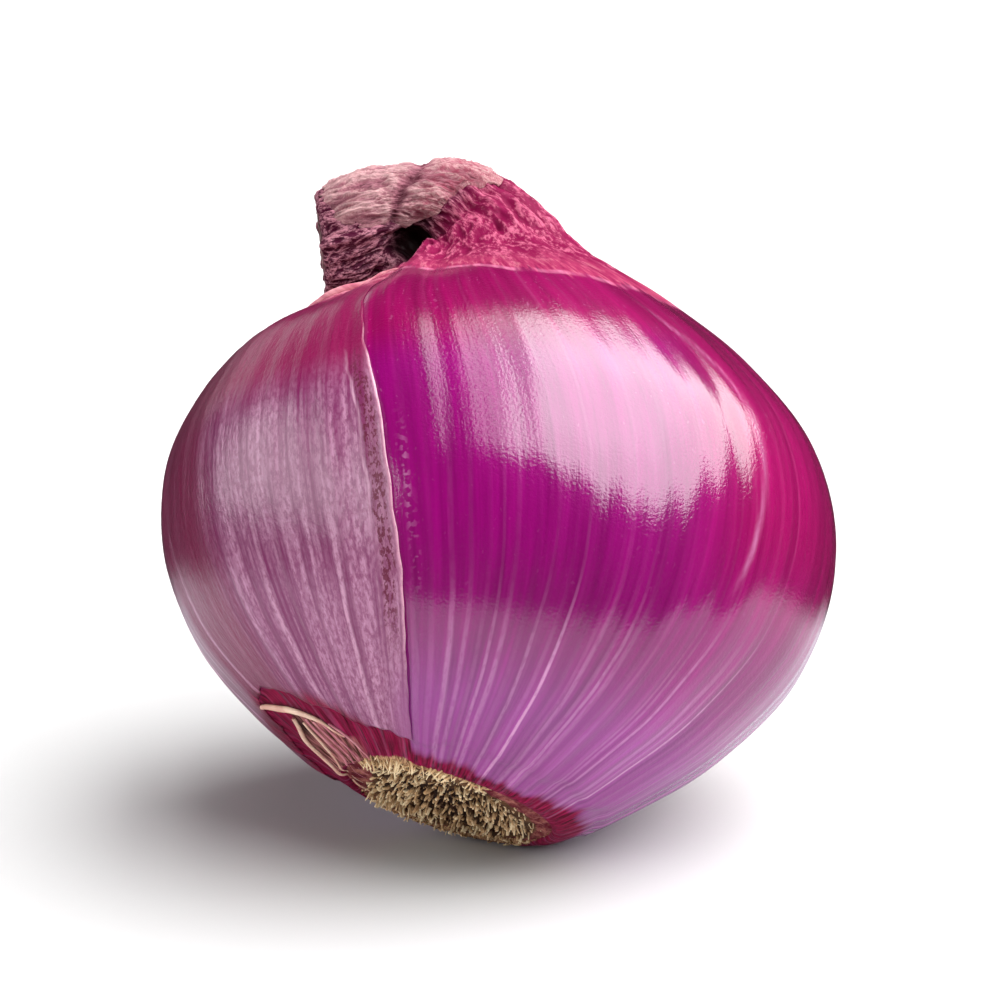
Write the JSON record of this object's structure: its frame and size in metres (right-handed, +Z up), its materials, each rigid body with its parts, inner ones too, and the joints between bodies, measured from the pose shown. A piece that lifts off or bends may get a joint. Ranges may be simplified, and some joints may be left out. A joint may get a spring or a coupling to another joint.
{
  "type": "red onion",
  "caption": "Whole dry red onion lying on its side, with glossy veined skin, a folded dry neck and a root plate with short dried roots.",
  "frame": {"origin": "centre of the bounding box in X and Y, on the surface that the onion lies on", "axes": "+Z up, -Y towards the viewer with the root plate low on that side, +Y away with the neck leaning back, +X to the right"},
  "size_m": [0.0762, 0.0709, 0.0707],
  "materials": {
    "skin": "glossy thin dry skin over a firm bulb, deep purple to magenta with pale veins",
    "roots": "matte, dry and fibrous, beige at the rim and dark brown in the middle"
  },
  "bodies": {
    "root": {"bulb": "skin", "root_tuft": "roots"}
  },
  "joints": []
}
